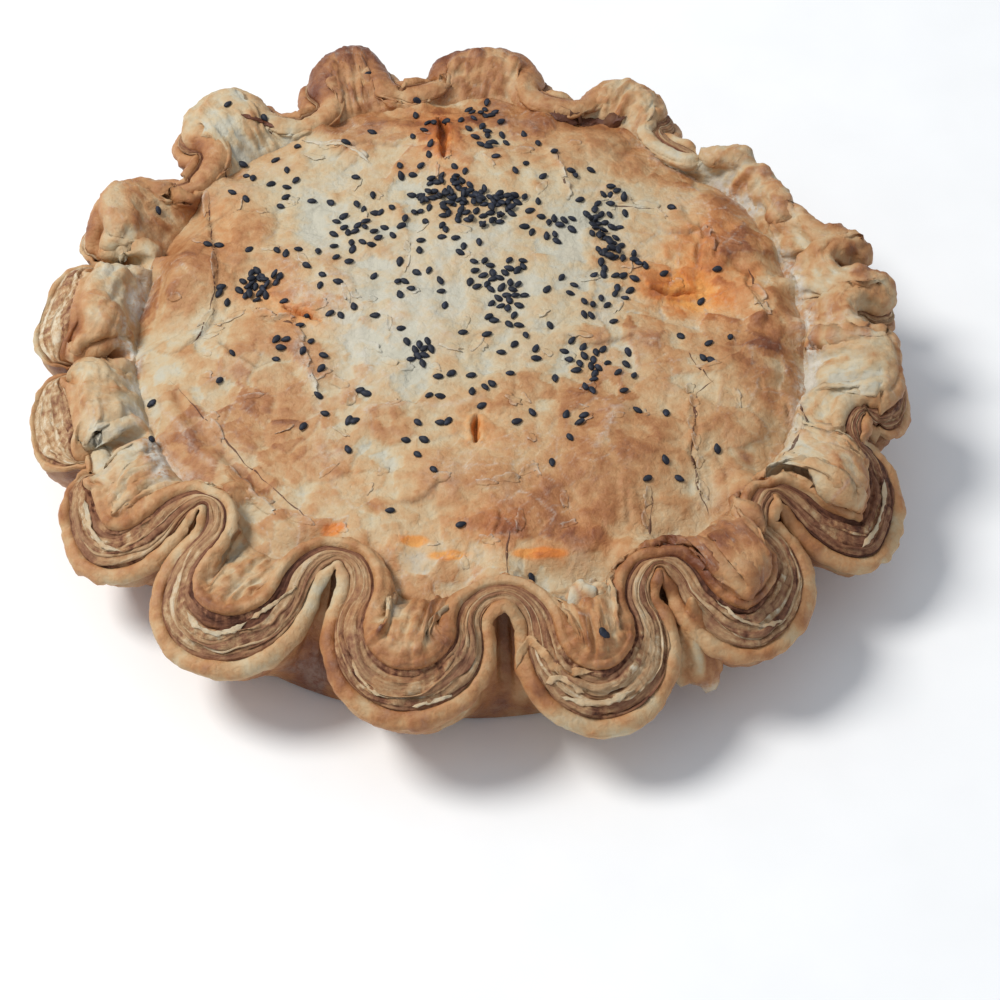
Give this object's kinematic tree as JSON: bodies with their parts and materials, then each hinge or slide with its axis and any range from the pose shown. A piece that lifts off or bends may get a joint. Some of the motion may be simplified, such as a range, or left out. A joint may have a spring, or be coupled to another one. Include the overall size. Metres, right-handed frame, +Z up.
{
  "type": "pork pie",
  "caption": "Whole baked pie in flaky puff pastry with a hand-crimped fluted rim, a low uneven lid with steam slits, and dark seeds on top.",
  "frame": {"origin": "on the surface the pie stands on, under the middle of its outline seen from above", "axes": "+Z up through the lid, -Y towards the side that the picture shows nearest, +X to the right in the picture"},
  "size_m": [0.2454, 0.2442, 0.0475],
  "materials": {
    "baked_pastry": "baked puff pastry, dry and matt, with an egg-washed sheen on the lid"
  },
  "bodies": {
    "root": {"pie": "baked_pastry"}
  },
  "joints": []
}
